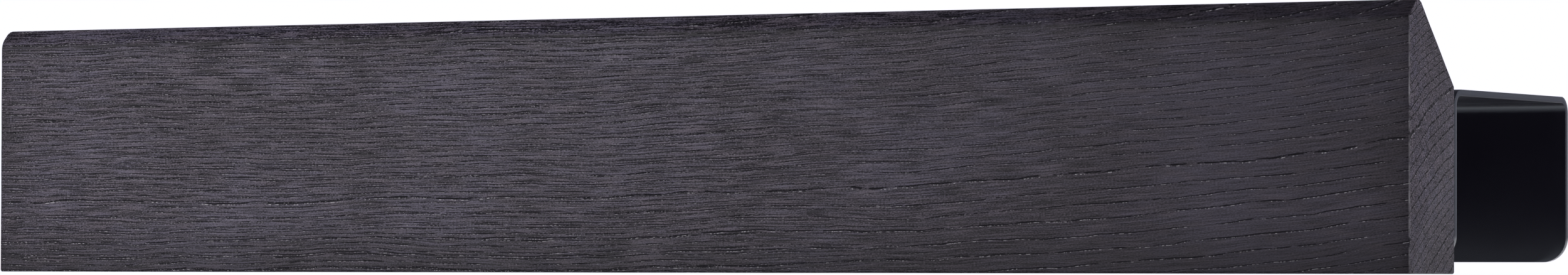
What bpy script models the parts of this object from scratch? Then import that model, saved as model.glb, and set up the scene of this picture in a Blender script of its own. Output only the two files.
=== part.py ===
"""A magnetic knife rack: a black-stained oak bar with disc magnets inside, on a folded sheet-steel hook.

Run it with blender --background --python part.py, or from Blender's text editor.
X runs along the bar, -Y is the front that the blades cling to, and Z is up. Lengths are in metres.
The origin is on the underside of the hook's web, midway along it and midway between its legs.
"""

import math

import bmesh
import bpy

# The oak bar
BAR_LENGTH = 0.400
BAR_HEIGHT = 0.063
BAR_DEPTH = 0.026
BACK_BEVEL = 0.0195  # 45 degree bevel, from the top down to the back face
FRONT_CHAMFER = 0.0038  # 45 degree chamfer between the front face and the top
RIDGE_BLEND = 0.0025  # radius that softens both ends of the chamfer and the ridge
ARRIS = 0.0005  # radius of the other long edges
END_EASING = 0.0005  # bevel round each sawn end

# The steel hook, an upside-down U of folded sheet
SHEET = 0.0015
HOOK_GAP = 0.067  # between the inner faces of the legs
LEG_LENGTH = 0.0385  # from the web's underside to the end of each leg
BEND_RADIUS = 0.0025  # on the inside of each fold
LEG_CORNER = 0.006  # radius of the legs' lower corners
END_INSET = 0.0002  # how far the hook stops short of each end of the bar
BAR_BELOW_LEG = 0.003

# The magnets, each in a pocket drilled from the bar's back and closed with an oak plug
MAGNET_COUNT = 10
MAGNET_PITCH = 0.036
MAGNET_RADIUS = 0.010
MAGNET_THICKNESS = 0.005
FRONT_WALL = 0.002  # wood left between a pocket's floor and the front face
FIXING_HEIGHT = 0.028  # of the magnets and screws, above the bar's underside

# The countersunk wood screws, each midway between two magnets or beyond the last one
SCREW_COUNT = 6
SCREW_PITCH = 2 * MAGNET_PITCH
SCREW_LENGTH = 0.020
SCREW_RADIUS = 0.002
HEAD_RADIUS = 0.0038
HEAD_RIM = 0.0003
HEAD_RECESS = 0.0001  # how far a head lies below the leg's inner face
POINT_LENGTH = 0.004
DRIVE_RADIUS = 0.0017  # mean radius of the six-lobed socket
DRIVE_LOBE = 0.0002
DRIVE_DEPTH = 0.0014

CLEARANCE = 0.0003  # between pieces that meet
BEYOND = 0.005  # how far a cutter reaches past the surface it cuts
ARC_STEP = math.radians(15)
ROUND_STEPS = 24

# Places that follow from the sizes above
HOOK_LENGTH = BAR_LENGTH - 2 * END_INSET
LEG_INNER_Y = HOOK_GAP / 2
LEG_OUTER_Y = LEG_INNER_Y + SHEET
BAR_BACK_Y = -LEG_OUTER_Y - CLEARANCE
BAR_FRONT_Y = BAR_BACK_Y - BAR_DEPTH
BAR_BOTTOM_Z = -LEG_LENGTH - BAR_BELOW_LEG
BAR_TOP_Z = BAR_BOTTOM_Z + BAR_HEIGHT
FIXING_Z = BAR_BOTTOM_Z + FIXING_HEIGHT
POCKET_RADIUS = MAGNET_RADIUS + CLEARANCE
POCKET_FLOOR_Y = BAR_FRONT_Y + FRONT_WALL

# Turns that stand a flat outline, drawn in X and Y, in the plane it belongs to
ACROSS_BAR = (math.pi / 2, 0, math.pi / 2)  # outline in Y and Z, thickness along X
FACING_FRONT = (math.pi / 2, 0, 0)  # outline in X and Z, thickness along Y
AXIS_TO_BACK = (-math.pi / 2, 0, 0)  # a turned piece's top faces +Y


def clear_scene():
    for thing in list(bpy.data.objects):
        bpy.data.objects.remove(thing, do_unlink=True)


def new_collection(name):
    collection = bpy.data.collections.new(name)
    bpy.context.scene.collection.children.link(collection)
    return collection


def new_material(name, color, roughness, metallic):
    material = bpy.data.materials.new(name)
    material.use_nodes = True
    shader = material.node_tree.nodes["Principled BSDF"]
    shader.inputs["Base Color"].default_value = (*color, 1)
    shader.inputs["Roughness"].default_value = roughness
    shader.inputs["Metallic"].default_value = metallic
    material.diffuse_color = (*color, 1)
    return material


def spaced(count, pitch):
    """Places along X, pitch apart and centred on the origin."""
    return [(i - (count - 1) / 2) * pitch for i in range(count)]


def rounded_outline(corners):
    """The outline through corners, given as (u, v, radius), with an arc in place of each rounded corner."""
    points = []
    for i, (u, v, radius) in enumerate(corners):
        if radius == 0:
            points.append((u, v))
            continue
        before, after = corners[i - 1], corners[(i + 1) % len(corners)]
        way_in = math.atan2(v - before[1], u - before[0])
        way_out = math.atan2(after[1] - v, after[0] - u)
        turn = math.remainder(way_out - way_in, math.tau)
        setback = radius * math.tan(abs(turn) / 2)
        side = math.copysign(math.pi / 2, turn)
        centre_u = u - setback * math.cos(way_in) + radius * math.cos(way_in + side)
        centre_v = v - setback * math.sin(way_in) + radius * math.sin(way_in + side)
        steps = max(2, round(abs(turn) / ARC_STEP))
        for step in range(steps + 1):
            angle = way_in - side + turn * step / steps
            points.append((centre_u + radius * math.cos(angle), centre_v + radius * math.sin(angle)))
    return points


def outline_solid(name, points, thickness, rotation, location, collection):
    """A closed mesh object: a flat outline with the given thickness, centred on its plane."""
    curve = bpy.data.curves.new(name + "_outline", "CURVE")
    curve.dimensions = "2D"
    curve.fill_mode = "BOTH"
    curve.extrude = thickness / 2
    spline = curve.splines.new("POLY")
    spline.points.add(len(points) - 1)
    for point, (u, v) in zip(spline.points, points):
        point.co = (u, v, 0, 1)
    spline.use_cyclic_u = True
    drawn = bpy.data.objects.new(name + "_outline", curve)
    drawn.rotation_euler = rotation
    drawn.location = location
    collection.objects.link(drawn)
    bpy.context.view_layer.update()
    evaluated = drawn.evaluated_get(bpy.context.evaluated_depsgraph_get())
    mesh = bpy.data.meshes.new_from_object(evaluated)
    weld(mesh)
    solid = bpy.data.objects.new(name, mesh)
    solid.matrix_world = drawn.matrix_world.copy()
    collection.objects.link(solid)
    bpy.data.objects.remove(drawn, do_unlink=True)
    return solid


def weld(mesh):
    """Joins the loose caps of a converted outline to its walls."""
    shape = bmesh.new()
    shape.from_mesh(mesh)
    bmesh.ops.remove_doubles(shape, verts=shape.verts, dist=0.000001)
    bmesh.ops.recalc_face_normals(shape, faces=shape.faces)
    shape.to_mesh(mesh)
    shape.free()


def turned_mesh(name, profile):
    """A profile of (radius, height) points, from the top of the axis down its outer side to the bottom."""
    mesh = bpy.data.meshes.new(name)
    points = [(radius, 0, height) for radius, height in profile]
    edges = [(i, i + 1) for i in range(len(points) - 1)]
    mesh.from_pydata(points, edges, [])
    return mesh


def turned_object(name, mesh, x, y, collection):
    """Turns a profile mesh round an axis that lies along Y at the fixing height, with its top facing +Y."""
    piece = bpy.data.objects.new(name, mesh)
    piece.location = (x, y, FIXING_Z)
    piece.rotation_euler = AXIS_TO_BACK
    collection.objects.link(piece)
    screw = piece.modifiers.new("turn", "SCREW")
    screw.steps = ROUND_STEPS
    screw.render_steps = ROUND_STEPS
    screw.use_merge_vertices = True
    screw.merge_threshold = 0.000001
    return piece


def disc(name, mesh_name, radius, front_y, back_y, x, collection):
    """A round piece with its axis along Y at the fixing height."""
    mesh = bpy.data.meshes.get(mesh_name)
    if mesh is None:
        mesh = bpy.data.meshes.new(mesh_name)
        shape = bmesh.new()
        bmesh.ops.create_cone(
            shape,
            cap_ends=True,
            segments=ROUND_STEPS,
            radius1=radius,
            radius2=radius,
            depth=back_y - front_y,
        )
        shape.to_mesh(mesh)
        shape.free()
    piece = bpy.data.objects.new(name, mesh)
    piece.location = (x, (front_y + back_y) / 2, FIXING_Z)
    piece.rotation_euler = AXIS_TO_BACK
    collection.objects.link(piece)
    return piece


def as_cutter(piece):
    piece.hide_render = True
    piece.display_type = "WIRE"
    return piece


def cut(piece, cutter, operation="DIFFERENCE"):
    boolean = piece.modifiers.new(cutter.name, "BOOLEAN")
    boolean.operation = operation
    boolean.object = cutter


def shade_round(mesh):
    """Smooth shading, with edges steeper than the facets of an arc left sharp."""
    mesh.shade_smooth()
    mesh.set_sharp_from_angle(angle=math.radians(35))


def bar_outline():
    """The bar's end, as seen from +X: front face, chamfer, short top, long bevel, back face, underside."""
    chamfer_z = BAR_TOP_Z - FRONT_CHAMFER
    bevel_top_y = BAR_BACK_Y - BACK_BEVEL
    corners = [
        (BAR_BACK_Y, BAR_BOTTOM_Z, ARRIS),
        (BAR_BACK_Y, BAR_TOP_Z - BACK_BEVEL, ARRIS),
        (bevel_top_y, BAR_TOP_Z, RIDGE_BLEND),
        (BAR_FRONT_Y + FRONT_CHAMFER, BAR_TOP_Z, RIDGE_BLEND),
        (BAR_FRONT_Y, chamfer_z, RIDGE_BLEND),
        (BAR_FRONT_Y, BAR_BOTTOM_Z, ARRIS),
    ]
    return rounded_outline(corners)


def make_bar(parts, pockets, screw_holes):
    bar = outline_solid("oak_bar", bar_outline(), BAR_LENGTH, ACROSS_BAR, (0, 0, 0), parts)
    easing = bar.modifiers.new("end_easing", "BEVEL")
    easing.width = END_EASING
    easing.segments = 2
    easing.limit_method = "ANGLE"
    easing.angle_limit = math.radians(60)
    for cutter in pockets + screw_holes:
        cut(bar, cutter)
    bar.data.materials.append(new_material("black_stained_oak", (0.058, 0.054, 0.062), 0.62, 0))
    return bar


def hook_outline():
    """The hook's section in Y and Z: both folds at their true radii, the legs longer than they end up."""
    outer_radius = BEND_RADIUS + SHEET
    leg_end = -LEG_LENGTH - BEYOND
    corners = [
        (LEG_OUTER_Y, leg_end, 0),
        (LEG_OUTER_Y, SHEET, outer_radius),
        (-LEG_OUTER_Y, SHEET, outer_radius),
        (-LEG_OUTER_Y, leg_end, 0),
        (-LEG_INNER_Y, leg_end, 0),
        (-LEG_INNER_Y, 0, BEND_RADIUS),
        (LEG_INNER_Y, 0, BEND_RADIUS),
        (LEG_INNER_Y, leg_end, 0),
    ]
    return rounded_outline(corners)


def hook_front_view():
    """The hook seen from the front: its full length, and legs with rounded lower corners."""
    half = HOOK_LENGTH / 2
    corners = [
        (-half, -LEG_LENGTH, LEG_CORNER),
        (half, -LEG_LENGTH, LEG_CORNER),
        (half, SHEET + BEYOND, 0),
        (-half, SHEET + BEYOND, 0),
    ]
    return rounded_outline(corners)


def make_hook(parts, cutters, screw_holes):
    hook = outline_solid("steel_hook", hook_outline(), HOOK_LENGTH + BEYOND, ACROSS_BAR, (0, 0, 0), parts)
    width = 2 * (LEG_OUTER_Y + BEYOND)
    front_view = outline_solid("hook_front_view", hook_front_view(), width, FACING_FRONT, (0, 0, 0), cutters)
    cut(hook, as_cutter(front_view), "INTERSECT")
    for cutter in screw_holes:
        cut(hook, cutter)
    hook.data.materials.append(new_material("black_powder_coat", (0.012, 0.012, 0.015), 0.30, 0.0))
    return hook


def make_pocket_cutters(cutters):
    """One drill for each magnet pocket, from behind the bar to the pocket's floor."""
    drills = []
    for i, x in enumerate(spaced(MAGNET_COUNT, MAGNET_PITCH)):
        drill = disc(
            f"pocket_drill_{i + 1:02d}",
            "pocket_drill",
            POCKET_RADIUS,
            POCKET_FLOOR_Y,
            BAR_BACK_Y + BEYOND,
            x,
            cutters,
        )
        drills.append(as_cutter(drill))
    return drills


def make_magnets(parts):
    material = new_material("nickel_plated_magnet", (0.62, 0.60, 0.56), 0.22, 1.0)
    front = POCKET_FLOOR_Y + CLEARANCE
    for i, x in enumerate(spaced(MAGNET_COUNT, MAGNET_PITCH)):
        name = f"magnet_{i + 1:02d}"
        magnet = disc(name, "magnet", MAGNET_RADIUS, front, front + MAGNET_THICKNESS, x, parts)
        if not magnet.data.materials:
            magnet.data.materials.append(material)
    shade_round(bpy.data.meshes["magnet"])


def make_plugs(parts):
    material = new_material("plain_oak", (0.42, 0.27, 0.14), 0.60, 0)
    front = POCKET_FLOOR_Y + MAGNET_THICKNESS + 2 * CLEARANCE
    for i, x in enumerate(spaced(MAGNET_COUNT, MAGNET_PITCH)):
        name = f"oak_plug_{i + 1:02d}"
        plug = disc(name, "oak_plug", MAGNET_RADIUS, front, BAR_BACK_Y, x, parts)
        if not plug.data.materials:
            plug.data.materials.append(material)
    shade_round(bpy.data.meshes["oak_plug"])


def screw_profile(growth=0.0, above=0.0):
    """Half the section of a countersunk screw, grown all round by growth and carried up by above."""
    head = HEAD_RADIUS + growth
    shank = SCREW_RADIUS + growth
    cone_top = -HEAD_RIM
    cone_end = cone_top - (head - shank)
    end = -SCREW_LENGTH - growth
    return [
        (0, above),
        (head, above),
        (head, cone_top),
        (shank, cone_end),
        (shank, end + POINT_LENGTH),
        (0, end),
    ]


def make_screw_holes(cutters):
    """Countersunk holes that go through the front leg and on into the bar."""
    mesh = turned_mesh("screw_hole", screw_profile(CLEARANCE, BEYOND))
    top = -LEG_INNER_Y - HEAD_RECESS
    holes = []
    for i, x in enumerate(spaced(SCREW_COUNT, SCREW_PITCH)):
        hole = turned_object(f"screw_hole_{i + 1}", mesh, x, top, cutters)
        holes.append(as_cutter(hole))
    return holes


def drive_outline():
    """The six-lobed socket in a screw's head."""
    points = []
    for step in range(ROUND_STEPS):
        angle = math.tau * step / ROUND_STEPS
        radius = DRIVE_RADIUS + DRIVE_LOBE * math.cos(6 * angle)
        points.append((radius * math.cos(angle), radius * math.sin(angle)))
    return points


def make_screws(parts, cutters):
    mesh = turned_mesh("screw", screw_profile())
    mesh.materials.append(new_material("black_zinc_screw", (0.030, 0.030, 0.032), 0.35, 1.0))
    top = -LEG_INNER_Y - HEAD_RECESS
    for i, x in enumerate(spaced(SCREW_COUNT, SCREW_PITCH)):
        name = f"hook_screw_{i + 1}"
        screw = turned_object(name, mesh, x, top, parts)
        middle = (x, top, FIXING_Z)
        socket = outline_solid(name + "_drive", drive_outline(), 2 * DRIVE_DEPTH, FACING_FRONT, middle, cutters)
        cut(screw, as_cutter(socket))


def main():
    clear_scene()
    parts = new_collection("magnetic_knife_rack")
    cutters = new_collection("magnetic_knife_rack_cutters")
    pockets = make_pocket_cutters(cutters)
    screw_holes = make_screw_holes(cutters)
    bar = make_bar(parts, pockets, screw_holes)
    hook = make_hook(parts, cutters, screw_holes)
    shade_round(bar.data)
    shade_round(hook.data)
    make_magnets(parts)
    make_plugs(parts)
    make_screws(parts, cutters)


main()
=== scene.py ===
import math

import bmesh
import bpy
from mathutils import Euler, Matrix, Vector, noise


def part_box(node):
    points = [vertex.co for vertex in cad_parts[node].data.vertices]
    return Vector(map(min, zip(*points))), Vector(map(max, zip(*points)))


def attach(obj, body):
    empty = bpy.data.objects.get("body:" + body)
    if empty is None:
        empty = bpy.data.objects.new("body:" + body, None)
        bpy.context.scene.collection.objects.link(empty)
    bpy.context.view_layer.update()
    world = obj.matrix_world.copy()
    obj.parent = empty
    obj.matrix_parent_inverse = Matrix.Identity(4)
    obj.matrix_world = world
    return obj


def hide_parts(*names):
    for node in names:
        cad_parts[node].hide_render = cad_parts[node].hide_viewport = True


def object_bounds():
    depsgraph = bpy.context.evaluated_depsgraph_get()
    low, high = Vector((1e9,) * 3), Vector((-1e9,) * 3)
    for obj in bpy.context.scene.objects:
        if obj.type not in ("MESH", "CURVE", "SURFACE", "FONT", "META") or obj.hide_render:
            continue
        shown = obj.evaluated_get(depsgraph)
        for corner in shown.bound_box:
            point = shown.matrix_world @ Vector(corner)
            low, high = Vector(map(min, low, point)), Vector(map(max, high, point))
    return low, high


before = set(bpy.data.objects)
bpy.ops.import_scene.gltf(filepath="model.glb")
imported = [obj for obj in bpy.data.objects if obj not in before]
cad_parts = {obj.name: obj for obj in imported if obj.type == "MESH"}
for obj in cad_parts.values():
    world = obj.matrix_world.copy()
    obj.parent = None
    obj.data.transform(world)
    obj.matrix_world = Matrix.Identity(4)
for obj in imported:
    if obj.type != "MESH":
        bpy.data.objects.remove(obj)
CAD_LOW, CAD_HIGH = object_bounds()
MM = 0.001

# The oak bar, in metres
BACK_BEVEL = 0.0195
FRONT_CHAMFER = 0.0038
LEFT_CHAMFER = 0.0034  # the front chamfer at the left end
RIDGE_BLEND = 0.0025
LEFT_BLEND = 0.004  # the radius of the front chamfer's borders at the left end
LOWER_ARRIS = 0.0006
END_EASING = 0.0004
SANDING_WAVE = 0.00003

# The hook, in metres
SHEET = 0.0015
BEND_RADIUS = 0.0025
LEG_CORNER = 0.006
COATED_EDGE = 0.0005  # how far the coat rounds the sheet's cut edges

# The pockets and screws, in metres
HOLE_CLEARANCE = 0.0003
HEAD_RADIUS = 0.0038
HEAD_RIM = 0.0003
HEAD_EASING = 0.0001
SHANK_RADIUS = 0.002
CORE_RADIUS = 0.0014
POINT_LENGTH = 0.004
THREAD_PITCH = 0.0018
THREAD_START = 0.0075  # below the head's top
THREAD_END = 0.0012  # short of the point
DRIVE_DEPTH = 0.0014
DRIVE_RADIUS = 0.0017
DRIVE_LOBE = 0.0002
CUT_BEYOND = 0.002  # how far a cutter reaches past the surface it cuts

# The log that the bar was sawn from, and its pores, in millimetres
PITH_BEHIND_FRONT = 60.0
PITH_BELOW_GRAIN = 73.6
GRAIN_CLIMB = 13.6  # how far the grain lines rise from the left end to the right one
RING_WIDTH = 2.8
SMALL_ROW_SPACING = 1.35

# The studio: linear colours of the room, and each light's place, target, size and power
FLOOR_BELOW_BAR = 0.065
FLOOR_REACH = 12.0
BACKDROP = (1.0, 1.0, 1.10, 1)
RIGHT_ROOM = (0.30, 0.33, 0.40, 1)
FRONT_ROOM = (0.20, 0.20, 0.235, 1)
CEILING = (0.12, 0.12, 0.15, 1)
LEFT_SOFTBOX = ((-0.45, -0.72, 0.14), (-0.15, 0, 0), (0.4, 0.4), 4.3)
RIGHT_STRIP = ((1.2, 0.12, 0.25), (0.2, 0, 0), (0.25, 0.8), 7.0)
FLOOR_LIGHT = ((-0.1, 0.85, 0.6), (0, 0.45, -0.12), (0.5, 0.5), 18.0)
CAMERA_FROM_CORNER = (0.5429, -1.2486, -0.0010)  # from the lower right corner of the bar's front
CAMERA_TURN = (29.528, 1.348, 0.123)  # yaw, pitch and roll in degrees
CAMERA_LENS = 136.07

# Fineness of the visual meshes
BAR_STATION = 0.002  # spacing of the bar's sections along its length
BAR_SIDE_STEP = 0.0016
BAR_ARC = math.radians(7)
HOOK_STATION = 0.004
BEND_STEPS = 12
CORNER_STEPS = 12
LEG_ROWS = 6
WEB_ROWS = 8
DISC_STEPS = 64
SCREW_STEPS = 32
THREAD_PARTS = 8  # rings to each turn of the thread
DRIVE_STEPS = 48


# ---------------------------------------------------------------- meshes


def new_piece(name, mesh, slot, *stands_for):
    """Links a mesh as a piece that rides on the rack and stands for the CAD nodes named."""
    piece = bpy.data.objects.new(name, mesh)
    bpy.context.scene.collection.objects.link(piece)
    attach(piece, "root")
    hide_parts(*stands_for)
    return piece


def new_tool(name, mesh):
    tool = bpy.data.objects.new(name, mesh)
    bpy.context.scene.collection.objects.link(tool)
    return tool


def mesh_from(name, vertices, faces):
    mesh = bpy.data.meshes.new(name)
    mesh.from_pydata(vertices, [], faces)
    mesh.validate()
    mesh.update()
    return mesh


def face_outwards(mesh):
    shape = bmesh.new()
    shape.from_mesh(mesh)
    bmesh.ops.recalc_face_normals(shape, faces=shape.faces)
    shape.to_mesh(mesh)
    shape.free()


def shade_round(mesh, angle=35):
    mesh.shade_smooth()
    mesh.set_sharp_from_angle(angle=math.radians(angle))


def apply_modifiers(piece):
    """Replaces a piece's mesh by the one its modifiers make."""
    bpy.context.view_layer.update()
    evaluated = piece.evaluated_get(bpy.context.evaluated_depsgraph_get())
    made = bpy.data.meshes.new_from_object(evaluated)
    piece.modifiers.clear()
    piece.data = made


def cut_away(piece, tools):
    """Cuts each tool's shape out of a piece, then removes the tools."""
    for tool in tools:
        boolean = piece.modifiers.new(tool.name, "BOOLEAN")
        boolean.operation = "DIFFERENCE"
        boolean.object = tool
    apply_modifiers(piece)
    for tool in tools:
        bpy.data.objects.remove(tool, do_unlink=True)


def ring_faces(rings, count):
    """Quads between successive rings of count points each, closed round each ring."""
    faces = []
    for ring in range(rings - 1):
        for i in range(count):
            j = (i + 1) % count
            a, b = ring * count, (ring + 1) * count
            faces.append((a + i, a + j, b + j, b + i))
    return faces


def capped_mesh(name, vertices, rings, steps, top, bottom):
    """Joins rings of points into a closed mesh, with a point on the axis at the height of each end."""
    faces = ring_faces(rings, steps)
    first, last = len(vertices), len(vertices) + 1
    lowest = (rings - 1) * steps
    for i in range(steps):
        j = (i + 1) % steps
        faces.append((first, j, i))
        faces.append((last, lowest + i, lowest + j))
    return mesh_from(name, vertices + [(0, 0, top), (0, 0, bottom)], faces)


def turned_mesh(name, profile, steps, to_world):
    """Turns (radius, height) points round an axis. The first and last points lie on it."""
    inner = profile[1:-1]
    vertices = []
    for radius, height in inner:
        for step in range(steps):
            angle = math.tau * step / steps
            vertices.append((radius * math.cos(angle), radius * math.sin(angle), height))
    mesh = capped_mesh(name, vertices, len(inner), steps, profile[0][1], profile[-1][1])
    mesh.transform(to_world)
    face_outwards(mesh)
    return mesh


def axis_to_back(x, y, z):
    """Places a turned piece so that its top faces the hook's gap."""
    return Matrix.Translation((x, y, z)) @ Euler((-math.pi / 2, 0, 0)).to_matrix().to_4x4()


# ---------------------------------------------------------------- the oak bar


def rounded_outline(corners):
    """The outline through corners, given as (u, v, radius), with an arc in place of each corner."""
    points = []
    for i, (u, v, radius) in enumerate(corners):
        before, after = corners[i - 1], corners[(i + 1) % len(corners)]
        way_in = math.atan2(v - before[1], u - before[0])
        way_out = math.atan2(after[1] - v, after[0] - u)
        turn = math.remainder(way_out - way_in, math.tau)
        setback = radius * math.tan(abs(turn) / 2)
        side = math.copysign(math.pi / 2, turn)
        centre_u = u - setback * math.cos(way_in) + radius * math.cos(way_in + side)
        centre_v = v - setback * math.sin(way_in) + radius * math.sin(way_in + side)
        steps = max(3, round(abs(turn) / BAR_ARC))
        for step in range(steps + 1):
            angle = way_in - side + turn * step / steps
            points.append((centre_u + radius * math.cos(angle), centre_v + radius * math.sin(angle)))
    return points


def bar_section(low, high, share):
    """The bar's outline in Y and Z, whose front top edge is rounder at the left end (share 0)."""
    front, back, bottom, top = low.y, high.y, low.z, high.z
    chamfer = LEFT_CHAMFER + (FRONT_CHAMFER - LEFT_CHAMFER) * share
    blend = LEFT_BLEND + (RIDGE_BLEND - LEFT_BLEND) * share
    corners = [
        (back, bottom, LOWER_ARRIS),
        (back, top - BACK_BEVEL, LOWER_ARRIS),
        (back - BACK_BEVEL, top, RIDGE_BLEND),
        (front + chamfer, top, blend),
        (front, top - chamfer, blend),
        (front, bottom, LOWER_ARRIS),
    ]
    return rounded_outline(corners)


def side_parts(points, longest):
    """How many parts to divide each side of a closed outline into."""
    parts = []
    for i, (u, v) in enumerate(points):
        next_u, next_v = points[(i + 1) % len(points)]
        parts.append(max(1, math.ceil(math.hypot(next_u - u, next_v - v) / longest)))
    return parts


def divided(points, parts):
    """The same closed outline with each side divided into its number of parts."""
    made = []
    for i, (u, v) in enumerate(points):
        next_u, next_v = points[(i + 1) % len(points)]
        for part in range(parts[i]):
            share = part / parts[i]
            made.append((u + (next_u - u) * share, v + (next_v - v) * share))
    return made


def outward_normals(points):
    normals = []
    for i in range(len(points)):
        before, after = points[i - 1], points[(i + 1) % len(points)]
        along = Vector((after[0] - before[0], after[1] - before[1])).normalized()
        normals.append((along.y, -along.x))
    return normals


def bar_stations(half, easing):
    """(x, inset) of each section: rounded over at the ends, evenly spaced between them."""
    steps = 5
    end = []
    for step in range(steps + 1):
        angle = math.pi / 2 * step / steps
        end.append((-half + easing * (1 - math.cos(angle)), 1 - math.sin(angle)))
    inner = half - easing
    count = round(2 * inner / BAR_STATION)
    middle = [(-inner + 2 * inner * i / count, 0.0) for i in range(1, count)]
    return end + middle + [(-x, inset) for x, inset in reversed(end)]


def bar_mesh(low, high):
    """The bar's body: a section swept along X, every edge eased a little unevenly, as if by hand sanding."""
    half = high.x
    stations = bar_stations(half, END_EASING)
    parts = side_parts(bar_section(low, high, 1.0), BAR_SIDE_STEP)
    count = sum(parts)
    vertices = []
    for x, inset in stations:
        outline = divided(bar_section(low, high, 0.5 + x / (2 * half)), parts)
        for (y, z), (normal_y, normal_z) in zip(outline, outward_normals(outline)):
            wear = END_EASING * (1 + 0.5 * noise.noise(Vector((x * 7, y * 160, z * 160)))) * inset
            hand = SANDING_WAVE * (noise.noise(Vector((x * 35, y * 60, z * 60 + 9))) - 1)
            shift = hand - wear
            vertices.append((x, y + normal_y * shift, z + normal_z * shift))
    faces = ring_faces(len(stations), count)
    faces.append(tuple(range(count)))
    last = (len(stations) - 1) * count
    faces.append(tuple(last + i for i in range(count)))
    mesh = mesh_from("oak_bar_body", vertices, faces)
    face_outwards(mesh)
    return mesh


def discs(prefix):
    """(node, x, z, lowest corner, highest corner) of each numbered CAD node with this prefix."""
    found = []
    for node in sorted(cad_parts):
        if node.startswith(prefix):
            low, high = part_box(node)
            found.append((node, (low.x + high.x) / 2, (low.z + high.z) / 2, low, high))
    return found


def pocket_tools():
    """A drill for each magnet's pocket, from its floor out past the bar's back."""
    tools = []
    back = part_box("oak_bar")[1].y + CUT_BEYOND
    for i, (_, x, z, low, high) in enumerate(discs("magnet")):
        radius = (high.x - low.x) / 2 + HOLE_CLEARANCE
        floor = low.y - HOLE_CLEARANCE
        profile = [(0, back), (radius, back), (radius, floor), (0, floor)]
        mesh = turned_mesh("pocket_tool", profile, DISC_STEPS, axis_to_back(x, 0, z))
        tools.append(new_tool(f"pocket_tool_{i}", mesh))
    return tools


def screw_tools():
    """Countersunk holes, through the hook's front leg and on into the bar."""
    tools = []
    head = HEAD_RADIUS + HOLE_CLEARANCE
    shank = SHANK_RADIUS + HOLE_CLEARANCE
    for i, (_, x, z, low, high) in enumerate(discs("hook_screw")):
        end = low.y - high.y - HOLE_CLEARANCE
        profile = [
            (0, CUT_BEYOND),
            (head, CUT_BEYOND),
            (head, -HEAD_RIM),
            (shank, -HEAD_RIM - (head - shank)),
            (shank, end + POINT_LENGTH),
            (0, end),
        ]
        mesh = turned_mesh("screw_tool", profile, DISC_STEPS, axis_to_back(x, high.y, z))
        tools.append(new_tool(f"screw_tool_{i}", mesh))
    return tools


def make_bar(material):
    low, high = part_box("oak_bar")
    bar = new_piece("oak_bar_body", bar_mesh(low, high), "black_stained_oak", "oak_bar")
    cut_away(bar, pocket_tools() + screw_tools())
    shade_round(bar.data, 40)
    bar.data.materials.append(material)


# ---------------------------------------------------------------- the steel hook


def hook_rows(leg, web_half, radius):
    """(y, z, distance from the nearer leg's end) of each row of the folded sheet's middle surface."""
    rows = []
    straight = leg - radius
    corner = [LEG_CORNER * (1 - math.cos(math.pi / 2 * i / CORNER_STEPS)) for i in range(CORNER_STEPS)]
    plain = [LEG_CORNER + (straight - LEG_CORNER) * i / LEG_ROWS for i in range(LEG_ROWS + 1)]
    for along in corner + plain:
        rows.append((-web_half, -leg + along, along))
    for step in range(1, BEND_STEPS + 1):
        angle = math.pi / 2 * step / BEND_STEPS
        y = -web_half + radius * (1 - math.cos(angle))
        rows.append((y, -radius + radius * math.sin(angle), LEG_CORNER))
    flat = web_half - radius
    for step in range(1, WEB_ROWS):
        rows.append((-flat + 2 * flat * step / WEB_ROWS, 0, LEG_CORNER))
    mirrored = [(-y, z, along) for y, z, along in reversed(rows) if y < -flat + 1e-9]
    return rows + mirrored


def hook_mesh(low, high):
    """The folded sheet's middle surface: a grid whose rows shorten round the legs' corners."""
    half = high.x
    middle_radius = BEND_RADIUS + SHEET / 2
    web_half = high.y - SHEET / 2
    leg = high.z - SHEET / 2 - low.z
    rows = hook_rows(leg, web_half, middle_radius)
    columns = round(2 * half / HOOK_STATION)
    vertices = []
    for y, z, along in rows:
        short = max(0.0, LEG_CORNER - along)
        inset = LEG_CORNER - math.sqrt(LEG_CORNER**2 - short**2)
        reach = half - inset
        for column in range(columns + 1):
            vertices.append((reach * (2 * column / columns - 1), y, z + high.z - SHEET / 2))
    faces = []
    width = columns + 1
    for row in range(len(rows) - 1):
        for column in range(columns):
            a = row * width + column
            faces.append((a, a + 1, a + width + 1, a + width))
    return mesh_from("hook_sheet", vertices, faces)


def make_hook(material):
    low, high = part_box("steel_hook")
    hook = new_piece("folded_hook", hook_mesh(low, high), "black_powder_coat", "steel_hook")
    solidify = hook.modifiers.new("sheet", "SOLIDIFY")
    solidify.thickness = SHEET
    solidify.offset = 0
    solidify.use_even_offset = True
    edges = hook.modifiers.new("coated_edges", "BEVEL")
    edges.width = COATED_EDGE
    edges.segments = 5
    edges.limit_method = "ANGLE"
    edges.angle_limit = math.radians(60)
    apply_modifiers(hook)
    cut_away(hook, screw_tools())
    shade_round(hook.data, 40)
    hook.data.materials.append(material)


# ---------------------------------------------------------------- materials


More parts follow.
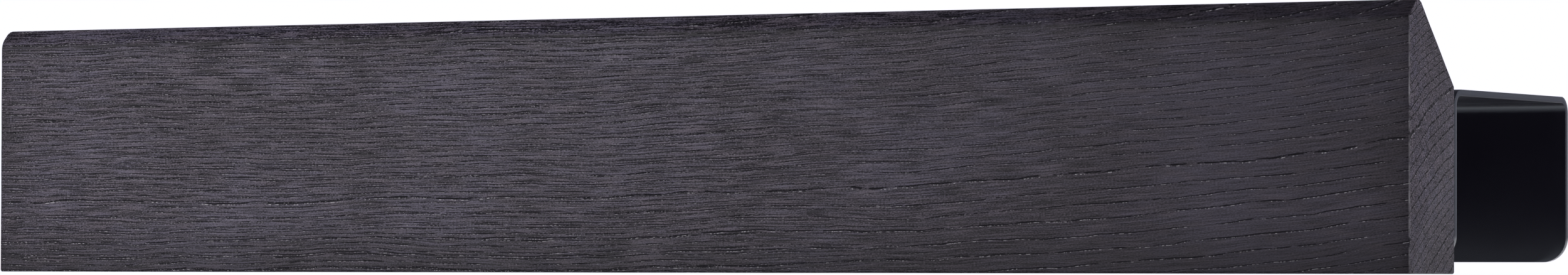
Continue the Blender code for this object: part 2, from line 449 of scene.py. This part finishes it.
class Graph:
    """The nodes of a material or a world, with one short method for each kind that the looks need."""

    def __init__(self, owner):
        owner.use_nodes = True
        self.owner = owner
        self.tree = owner.node_tree

    def shade(self, name, value):
        """Feeds an input of the material's surface shader."""
        self.feed(self.tree.nodes["Principled BSDF"].inputs[name], value)

    def node(self, kind, **settings):
        made = self.tree.nodes.new(kind)
        for key, value in settings.items():
            setattr(made, key, value)
        return made

    def feed(self, socket, value):
        if isinstance(value, bpy.types.NodeSocket):
            self.tree.links.new(value, socket)
        else:
            socket.default_value = value

    def math(self, operation, first, second=0.0, third=0.0, clamp=False):
        made = self.node("ShaderNodeMath", operation=operation, use_clamp=clamp)
        for socket, value in zip(made.inputs, (first, second, third)):
            self.feed(socket, value)
        return made.outputs[0]

    def vary(self, total, pattern, gain):
        """Adds to total a pattern that runs from 0 to 1, taken from -0.5 to 0.5 times gain."""
        return self.math("MULTIPLY_ADD", self.math("SUBTRACT", pattern, 0.5), gain, total)

    def vector(self, operation, first, second=(0, 0, 0)):
        made = self.node("ShaderNodeVectorMath", operation=operation)
        self.feed(made.inputs[0], first)
        self.feed(made.inputs[1], second)
        return made.outputs[0]

    def split(self, vector):
        made = self.node("ShaderNodeSeparateXYZ")
        self.feed(made.inputs[0], vector)
        return made.outputs

    def join(self, x, y, z):
        made = self.node("ShaderNodeCombineXYZ")
        for socket, value in zip(made.inputs, (x, y, z)):
            self.feed(socket, value)
        return made.outputs[0]

    def noise(self, vector, scale=1.0, detail=2.0, roughness=0.5):
        made = self.node("ShaderNodeTexNoise")
        self.feed(made.inputs["Vector"], vector)
        made.inputs["Scale"].default_value = scale
        made.inputs["Detail"].default_value = detail
        made.inputs["Roughness"].default_value = roughness
        return made.outputs[0]

    def grain(self, place, sizes, detail=2.0, roughness=0.5):
        """Noise whose features are about as long as sizes along each of the three values in place."""
        shares = [self.math("DIVIDE", value, size) for value, size in zip(place, sizes)]
        return self.noise(self.join(*shares), detail=detail, roughness=roughness)

    def smooth(self, value, low, high, to_low=0.0, to_high=1.0):
        """value from low to high becomes to_low to to_high, with soft ends."""
        made = self.node("ShaderNodeMapRange", interpolation_type="SMOOTHSTEP", clamp=True)
        for name, number in zip(("From Min", "From Max", "To Min", "To Max"), (low, high, to_low, to_high)):
            made.inputs[name].default_value = number
        self.feed(made.inputs["Value"], value)
        return made.outputs[0]

    def blend(self, share, first, second, mode="MIX"):
        made = self.node("ShaderNodeMix", data_type="RGBA", blend_type=mode)
        self.feed(made.inputs["Factor"], share)
        self.feed(made.inputs[6], first)
        self.feed(made.inputs[7], second)
        return made.outputs[2]

    def bump(self, height, distance):
        made = self.node("ShaderNodeBump")
        made.inputs["Strength"].default_value = 1.0
        made.inputs["Distance"].default_value = distance
        self.feed(made.inputs["Height"], height)
        return made.outputs[0]

    def millimetres(self, origin):
        """Object coordinates in millimetres from origin."""
        coordinates = self.node("ShaderNodeTexCoord").outputs["Object"]
        scaled = self.vector("MULTIPLY", coordinates, (1 / MM,) * 3)
        return self.vector("SUBTRACT", scaled, tuple(v / MM for v in origin))


def grain_flow(g, x, depth, height, length_mm):
    """How far the grain line through a point starts above the bar's underside at the left end."""
    share = g.math("MAXIMUM", g.math("DIVIDE", x, length_mm), 0.0)
    climb = g.math("MULTIPLY", g.math("POWER", share, 4.0), GRAIN_CLIMB)
    wander = g.vary(0.0, g.grain((x, depth, height), (70.0, 30.0, 24.0)), 5.0)
    ripple = g.vary(0.0, g.grain((x, depth, height), (7.0, 3.0, 2.5), detail=1.0), 0.5)
    flow = g.math("SUBTRACT", height, climb)
    flow = g.math("SUBTRACT", flow, wander)
    return g.math("SUBTRACT", flow, ripple)


def growth_rings(g, depth, flow):
    """A point's ring number, the share of that ring passed, the way round it in mm and the radius in mm."""
    from_pith_y = g.math("SUBTRACT", depth, PITH_BEHIND_FRONT)
    from_pith_z = g.math("ADD", flow, PITH_BELOW_GRAIN)
    squares = g.math("MULTIPLY_ADD", from_pith_z, from_pith_z, g.math("MULTIPLY", from_pith_y, from_pith_y))
    radius = g.math("SQRT", squares)
    around = g.math("MULTIPLY", g.math("ARCTAN2", from_pith_y, from_pith_z), 100.0)
    years = g.math("DIVIDE", radius, RING_WIDTH)
    years = g.math("ADD", years, g.smooth(radius, 112.0, 146.0, 0.0, 5.0))
    years = g.math("ADD", years, g.smooth(radius, 72.0, 98.0, 0.0, 1.5))
    lean_years = g.noise(g.join(g.math("DIVIDE", radius, 8.0), 3.7, 0.0), detail=1.0)
    years = g.math("MULTIPLY_ADD", lean_years, 1.4, years)
    ring = g.math("FLOOR", years)
    return ring, g.math("SUBTRACT", years, ring), around, radius


class OakPoint:
    """Where a shaded point lies in the bar, in mm from its left end, front and underside, and in the log."""

    def __init__(self, g, low, high):
        self.bar_length = (high.x - low.x) / MM
        self.bar_height = (high.z - low.z) / MM
        self.x, self.depth, self.height = g.split(g.millimetres(low))
        self.flow = grain_flow(g, self.x, self.depth, self.height, self.bar_length)
        self.ring, self.passed, self.around, self.radius = growth_rings(g, self.depth, self.flow)
        self.fibres = (self.x, self.depth, self.flow)
        self.torn = g.grain(self.fibres, (0.9, 0.5, 0.3), detail=2.0, roughness=0.7)
        facing = g.split(g.node("ShaderNodeNewGeometry").outputs["Normal"])[0]
        self.end_grain = g.smooth(g.math("ABSOLUTE", facing), 0.6, 0.9)


def pore_row(g, at, row, away, closed, steep, widest):
    """The pores in a row: how deep in a pore each point is, and where a painted glint lights the lip
    bordering one.

    away is the distance in mm from the row's middle line, outwards from the pith. closed is the share of
    the row without pores, and steep says how abruptly they end. Cut across, the pores of a row are dots.
    """
    seed = g.math("MULTIPLY", row, 7.31)
    around = g.math("MULTIPLY", at.around, g.math("MULTIPLY_ADD", at.end_grain, 0.9, 1.0))
    place = (at.x, around, seed)
    away = g.math("SUBTRACT", away, g.vary(0.0, g.grain(place, (14.0, 4.0, 1.0)), 0.7))
    tube = g.grain(place, (4.5, 0.55, 1.0), roughness=0.55)
    half = g.math("MULTIPLY", g.math("SUBTRACT", g.vary(tube, at.torn, 0.5), closed), steep)
    half = g.math("MINIMUM", half, widest)
    pore = g.smooth(g.math("SUBTRACT", g.math("ABSOLUTE", away), half), 0.045, -0.035)
    # Painted highlight: a broken light line along each pore's outer lip, painted into the colour as a glint
    glint_middle = g.math("ADD", g.math("ADD", away, half), 0.07)
    glint = g.smooth(g.math("ABSOLUTE", glint_middle), 0.07, 0.02)
    lit = g.smooth(g.math("SUBTRACT", half, g.math("MULTIPLY", at.torn, 0.06)), 0.0, 0.03)
    lit = g.math("MULTIPLY", lit, g.smooth(g.grain(place, (0.6, 1.0, 1.0)), 0.50, 0.62))
    return pore, g.math("MULTIPLY", glint, lit)


def oak_pores(g, at):
    """A row of big pores at the start of each ring, and smaller rows that fill the rings of the left half,
    with the painted glints along their lips.
    """
    widest = g.math("MULTIPLY_ADD", at.end_grain, 0.12, 0.07)
    closed = g.math("MULTIPLY_ADD", at.end_grain, 0.02, 0.42)
    steep = g.math("MULTIPLY_ADD", at.end_grain, 3.0, 1.1)
    away = g.math("MULTIPLY", g.math("SUBTRACT", at.passed, 0.2), 2.4)
    pore, glint = pore_row(g, at, at.ring, away, closed, steep, widest)

    layers = g.math("DIVIDE", at.flow, SMALL_ROW_SPACING)
    layer = g.math("FLOOR", layers)
    away = g.vary(0.0, g.math("SUBTRACT", layers, layer), SMALL_ROW_SPACING)
    small, small_glint = pore_row(g, at, layer, away, 0.44, 1.6, 0.085)
    fading = g.smooth(at.x, 0.9 * at.bar_length, 0.4 * at.bar_length)
    pore = g.math("MAXIMUM", pore, g.math("MULTIPLY", small, fading))
    return pore, g.math("MAXIMUM", glint, g.math("MULTIPLY", small_glint, fading))


def oak_tone(g, at, fibre, strand, felt, cloud):
    """How light the wood is between its dark and light colours, from hair-thin fibres to broad clouds."""
    ray_place = (at.x, at.around, at.radius)
    ray = g.math("MULTIPLY", g.vary(0.0, g.grain(ray_place, (3.0, 0.35, 5.0), detail=1.0), 1.0), at.end_grain)
    tone = g.vary(0.0, fibre, 3.6)
    tone = g.vary(tone, strand, 0.25)
    tone = g.vary(tone, g.grain(at.fibres, (60.0, 5.0, 4.0)), 0.20)
    tone = g.vary(tone, felt, 1.8)
    tone = g.math("ADD", tone, ray)

    # The grain is calmer towards the right end, but not across the end grain itself
    calm = g.smooth(at.x, 0.55 * at.bar_length, 0.95 * at.bar_length, 1.0, 0.42)
    tone = g.math("MULTIPLY", tone, g.math("MAXIMUM", calm, at.end_grain))
    tone = g.vary(tone, cloud, 0.55)
    return g.math("ADD", tone, 0.42, clamp=True)


def from_sides(g, along, size_mm):
    """The distance in mm to the nearer of two sides that are size_mm apart."""
    return g.math("MINIMUM", along, g.math("SUBTRACT", size_mm, along))


def top_band_and_chamfer_light(g, at):
    """The share of light left near the top: darker below the top, a torn dark line, and painted light on the
    chamfer above it.
    """
    length, top = at.bar_length, at.bar_height
    from_top = g.smooth(at.height, top - 3.5, top - 10.0, 0.70, 1.0)
    # Painted light: the chamfer paler towards the left end, where the softbox lights it, and darker at the
    # right end
    chamfer_light = g.smooth(at.height, top - 4.3, top - 3.4)
    chamfer_light = g.math("MULTIPLY", chamfer_light, g.smooth(at.x, 0.4 * length, length, 1.20, 0.85))
    from_top = g.math("MAXIMUM", from_top, chamfer_light)
    torn_line = g.grain((at.x, 0.0, 0.0), (5.0, 1.0, 1.0), detail=3.0)
    under_corner = g.math("SUBTRACT", at.height, top - 4.6)
    dark_line = g.smooth(g.math("ABSOLUTE", under_corner), 0.5, 0.15)
    dark_line = g.math("MULTIPLY", dark_line, g.smooth(torn_line, 0.40, 0.52))
    return g.math("MULTIPLY", from_top, g.math("MULTIPLY_ADD", dark_line, -0.6, 1.0))


def oak_painted_shade(g, at):
    """The share of light left: darker near both ends and below the top, with painted shade towards the
    bottom, the right end and low on the end grain.
    """
    # Painted shade: darker towards the underside
    from_bottom = g.smooth(at.height, 0.0, 16.0, 0.54, 1.0)
    from_end = g.smooth(from_sides(g, at.x, at.bar_length), 0.0, 12.0, 0.76, 1.0)
    shaded_share = g.math("MULTIPLY", g.math("MULTIPLY", top_band_and_chamfer_light(g, at), from_bottom), from_end)
    # Painted shade: darker towards the right end, away from the softbox
    shaded_share = g.math("MULTIPLY", shaded_share, g.smooth(at.x, 0.55 * at.bar_length, at.bar_length, 1.0, 0.76))
    # Painted shade: the end grain darker towards its bottom
    on_end = g.math("MULTIPLY", at.end_grain, g.smooth(at.height, 0.0, 26.0, 0.74, 1.05))
    return g.math("MAXIMUM", shaded_share, on_end)


def corner_glints(g, at):
    """Painted highlight: a broken light line along the front's upright corners, where the eased arris catches
    light.
    """
    corner = g.math("MAXIMUM", from_sides(g, at.x, at.bar_length), at.depth)
    glint_breaks = g.grain((0.0, 0.0, at.height), (1.0, 1.0, 5.0), detail=3.0)
    return g.math("MULTIPLY", g.smooth(glint_breaks, 0.35, 0.65), g.smooth(corner, 0.45, 0.2))


def oak_material(name, low, high, dark, light, cool, warm, pore_tone, glint_tone, roughness):
    """Oak sawn with its pith behind and below the bar, so that its rings rise to the back.

    low and high are the bar's corners. cool and warm tint dark and light from place to place.
    """
    g = Graph(bpy.data.materials.new(name))
    at = OakPoint(g, low, high)
    pore, glint = oak_pores(g, at)
    fibre = g.grain(at.fibres, (12.0, 0.45, 0.28), detail=2.0, roughness=0.6)
    strand = g.grain(at.fibres, (20.0, 1.1, 0.9))
    felt = g.grain(at.fibres, (0.5, 0.4, 0.22), detail=0.0)
    cloud = g.grain((at.x, at.depth, at.height), (42.0, 30.0, 26.0), detail=1.0)
    tone = oak_tone(g, at, fibre, strand, felt, cloud)

    patch = g.grain((at.x, at.depth, at.height), (9.0, 2.5, 2.0))
    patch = g.math("MULTIPLY_ADD", patch, 0.6, g.math("MULTIPLY", cloud, 0.4))
    tint = g.blend(g.smooth(patch, 0.38, 0.62), warm, cool)
    colour = g.blend(1.0, g.blend(tone, dark, light), tint, "MULTIPLY")
    # Painted shade and darkening towards the edges, multiplied into the colour
    shaded_share = oak_painted_shade(g, at)
    colour = g.vector("MULTIPLY", colour, g.join(shaded_share, shaded_share, shaded_share))
    colour = g.blend(pore, colour, pore_tone)
    # Painted highlights: the pores' glints and the light line on the front's upright corners, mixed into the
    # colour
    painted_glints = g.math("MAXIMUM", glint, g.math("MULTIPLY", corner_glints(g, at), 0.5))
    g.shade("Base Color", g.blend(painted_glints, colour, glint_tone))

    relief = g.math("MULTIPLY_ADD", pore, -1.0, g.math("MULTIPLY", fibre, 0.5))
    relief = g.math("MULTIPLY_ADD", felt, 0.2, relief)
    g.shade("Normal", g.bump(relief, 0.06 * MM))
    rough = g.vary(roughness, strand, 0.25)
    g.shade("Roughness", g.math("MULTIPLY_ADD", pore, 0.25, rough))
    g.shade("Specular IOR Level", 0.18)
    g.shade("Specular Tint", (0.97, 0.93, 1.0, 1))
    return g.owner


def powder_coat_material():
    """Satin black coat with a faint orange peel."""
    g = Graph(bpy.data.materials.new("satin_powder_coat"))
    place = g.millimetres((0, 0, 0))
    peel = g.noise(place, scale=0.9)
    haze = g.noise(place, scale=0.05, detail=3.0)
    colour = g.blend(haze, (0.0085, 0.0068, 0.0125, 1), (0.0115, 0.0092, 0.0165, 1))
    g.shade("Base Color", colour)
    g.shade("Roughness", g.math("MULTIPLY_ADD", haze, 0.10, 0.20))
    g.shade("Normal", g.bump(peel, 0.003 * MM))
    g.shade("Specular Tint", (0.83, 0.92, 1.0, 1))
    g.shade("Specular IOR Level", 0.9)
    return g.owner


def metal_material(name, dark, light, roughness, scratch):
    """Plated steel: a slightly uneven tone, with fine turned or handling marks."""
    g = Graph(bpy.data.materials.new(name))
    place = g.millimetres((0, 0, 0))
    stain = g.noise(place, scale=0.15, detail=3.0)
    marks = g.noise(g.vector("MULTIPLY", place, (0.3, 6.0, 6.0)))
    g.shade("Base Color", g.blend(stain, dark, light))
    g.shade("Metallic", 1.0)
    g.shade("Roughness", g.math("MULTIPLY_ADD", marks, scratch, roughness))
    g.shade("Normal", g.bump(marks, 0.002 * MM))
    return g.owner


# ---------------------------------------------------------------- hidden hardware


def make_discs(prefix, slot, edge, material):
    """A disc with a small chamfer for each CAD disc, such as a magnet or a plug."""
    for i, (node, x, z, low, high) in enumerate(discs(prefix)):
        radius = (high.x - low.x) / 2
        thick = high.y - low.y
        profile = [
            (0, 0),
            (radius - edge, 0),
            (radius - edge * 0.3, -edge * 0.3),
            (radius, -edge),
            (radius, -thick + edge),
            (radius - edge * 0.3, -thick + edge * 0.3),
            (radius - edge, -thick),
            (0, -thick),
        ]
        mesh = turned_mesh(node + "_body", profile, DISC_STEPS, axis_to_back(x, high.y, z))
        shade_round(mesh)
        mesh.materials.append(material)
        new_piece(f"{prefix}_body_{i + 1:02d}", mesh, slot, node)


def thread_radius(height, turned, length):
    """How far the thread's surface lies from the axis, at a height and a share of a turn."""
    lift = (height / THREAD_PITCH + turned) % 1.0
    crest = max(0.0, 1 - abs(lift - 0.5) * 4)
    taper = min(1.0, (height + length) / POINT_LENGTH)
    fade = min(1.0, (-THREAD_START - height) / THREAD_PITCH)
    core = CORE_RADIUS + (SHANK_RADIUS - CORE_RADIUS) * (1 - fade)
    return max(0.0001, taper * (core + (SHANK_RADIUS - core) * crest))


def screw_rings(length):
    """(radius, height) of each ring of a screw. A ring of the thread has no radius of its own."""
    rings = [
        (HEAD_RADIUS - HEAD_EASING, 0.0),
        (HEAD_RADIUS, -HEAD_EASING),
        (HEAD_RADIUS, -HEAD_RIM),
        (SHANK_RADIUS, -HEAD_RIM - (HEAD_RADIUS - SHANK_RADIUS)),
        (SHANK_RADIUS, -THREAD_START),
    ]
    height = -THREAD_START
    while height > THREAD_END - length:
        rings.append((None, height))
        height -= THREAD_PITCH / THREAD_PARTS
    return rings


def screw_mesh(name, length, to_world):
    """A countersunk wood screw with a helical thread that dies out towards the head and the point."""
    rings = screw_rings(length)
    vertices = []
    for radius, height in rings:
        for step in range(SCREW_STEPS):
            turned = step / SCREW_STEPS
            here = radius or thread_radius(height, turned, length)
            vertices.append((here * math.cos(math.tau * turned), here * math.sin(math.tau * turned), height))
    mesh = capped_mesh(name, vertices, len(rings), SCREW_STEPS, 0, -length)
    face_outwards(mesh)
    mesh.transform(to_world)
    return mesh


def drive_tool(i, x, y, z):
    """The six-lobed socket that a driver fits."""
    vertices = []
    for height in (CUT_BEYOND / 2, -DRIVE_DEPTH):
        for step in range(DRIVE_STEPS):
            angle = math.tau * step / DRIVE_STEPS
            radius = DRIVE_RADIUS + DRIVE_LOBE * math.cos(6 * angle)
            vertices.append((radius * math.cos(angle), radius * math.sin(angle), height))
    faces = ring_faces(2, DRIVE_STEPS)
    faces.append(tuple(range(DRIVE_STEPS)))
    faces.append(tuple(reversed(range(DRIVE_STEPS, 2 * DRIVE_STEPS))))
    mesh = mesh_from("drive_tool", vertices, faces)
    face_outwards(mesh)
    mesh.transform(axis_to_back(x, y, z))
    return new_tool(f"drive_tool_{i}", mesh)


def make_screws(material):
    for i, (node, x, z, low, high) in enumerate(discs("hook_screw")):
        mesh = screw_mesh(node + "_body", high.y - low.y, axis_to_back(x, high.y, z))
        screw = new_piece(f"hook_screw_body_{i + 1}", mesh, "black_zinc_screw", node)
        cut_away(screw, [drive_tool(i, x, high.y, z)])
        shade_round(screw.data)
        screw.data.materials.append(material)


# ---------------------------------------------------------------- studio


def make_floor():
    floor_z = CAD_LOW.z - FLOOR_BELOW_BAR
    corners = [(-1, -1), (1, -1), (1, 1), (-1, 1)]
    vertices = [(x * FLOOR_REACH, y * FLOOR_REACH, floor_z) for x, y in corners]
    mesh = mesh_from("studio_floor", vertices, [(0, 1, 2, 3)])
    floor = bpy.data.objects.new("studio_floor", mesh)
    bpy.context.scene.collection.objects.link(floor)
    g = Graph(bpy.data.materials.new("pale_floor"))
    g.shade("Base Color", (0.72, 0.72, 0.73, 1))
    g.shade("Roughness", 0.8)
    floor.data.materials.append(g.owner)


def make_light(name, place, target, size, power):
    light = bpy.data.lights.new(name, "AREA")
    light.shape = "RECTANGLE"
    light.size, light.size_y = size
    light.energy = power
    holder = bpy.data.objects.new(name, light)
    holder.location = place
    holder.rotation_euler = (Vector(target) - Vector(place)).to_track_quat("-Z", "Y").to_euler()
    bpy.context.scene.collection.objects.link(holder)
    return holder


def make_lights():
    """A softbox in front, a strip on the right and a floor light that the coat doesn't mirror."""
    make_light("left_softbox", *LEFT_SOFTBOX)
    make_light("right_strip", *RIGHT_STRIP)
    floor_light = make_light("floor_light", *FLOOR_LIGHT)
    floor_light.visible_glossy = False


def make_world():
    """A white backdrop behind the rack's left, a dimmer cool room to its right and a darker one in front."""
    g = Graph(bpy.data.worlds.new("studio"))
    x, y, z = g.split(g.node("ShaderNodeTexCoord").outputs["Generated"])
    room = g.blend(g.smooth(x, -0.3, 0.5), FRONT_ROOM, RIGHT_ROOM)
    behind_left = g.math("MULTIPLY", g.smooth(y, 0.1, 0.45), g.smooth(x, 0.40, 0.10))
    walls = g.blend(behind_left, room, BACKDROP)
    sky = g.blend(g.smooth(z, 0.05, 0.22), walls, CEILING)
    g.feed(g.tree.nodes["Background"].inputs["Color"], sky)
    bpy.context.scene.world = g.owner


def make_camera():
    """Stands to the right of the bar's front, level with its underside, and looks up a little."""
    corner = Vector((CAD_HIGH.x, CAD_LOW.y, CAD_LOW.z))
    camera = bpy.data.cameras.new("camera")
    camera.lens = CAMERA_LENS
    camera.clip_end = 50.0
    holder = bpy.data.objects.new("camera", camera)
    holder.location = corner + Vector(CAMERA_FROM_CORNER)
    yaw, pitch, roll = (math.radians(angle) for angle in CAMERA_TURN)
    level = Matrix.Rotation(yaw, 3, "Z") @ Matrix.Rotation(math.pi / 2 + pitch, 3, "X")
    holder.rotation_euler = (level @ Matrix.Rotation(roll, 3, "Z")).to_euler()
    bpy.context.scene.collection.objects.link(holder)
    bpy.context.scene.camera = holder


def main():
    bar_low, bar_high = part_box("oak_bar")
    black_oak = oak_material(
        "black_oak",
        bar_low,
        bar_high,
        dark=(0.005, 0.0042, 0.0068, 1),
        light=(0.110, 0.0965, 0.124, 1),
        cool=(0.97, 0.98, 1.05, 1),
        warm=(1.05, 1.0, 0.97, 1),
        pore_tone=(0.003, 0.0028, 0.0045, 1),
        # the colour of the painted glints on the pores' lips and the front's upright corners
        glint_tone=(0.33, 0.315, 0.335, 1),
        roughness=0.50,
    )
    plain_oak = oak_material(
        "plug_oak",
        bar_low,
        bar_high,
        dark=(0.26, 0.15, 0.07, 1),
        light=(0.58, 0.39, 0.21, 1),
        cool=(1.0, 1.0, 0.95, 1),
        warm=(1.0, 0.95, 0.88, 1),
        pore_tone=(0.12, 0.07, 0.035, 1),
        glint_tone=(0.62, 0.43, 0.24, 1),
        roughness=0.60,
    )
    coat = powder_coat_material()
    nickel = metal_material("nickel_plate", (0.52, 0.50, 0.46, 1), (0.70, 0.68, 0.64, 1), 0.16, 0.12)
    zinc = metal_material("black_zinc", (0.018, 0.018, 0.020, 1), (0.040, 0.040, 0.044, 1), 0.28, 0.15)
    make_bar(black_oak)
    make_hook(coat)
    make_discs("magnet", "nickel_plated_magnet", 0.0004, nickel)
    make_discs("oak_plug", "plain_oak", 0.0005, plain_oak)
    make_screws(zinc)
    make_floor()
    make_world()
    make_lights()
    make_camera()
    bpy.context.scene.view_settings.view_transform = "Standard"


main()
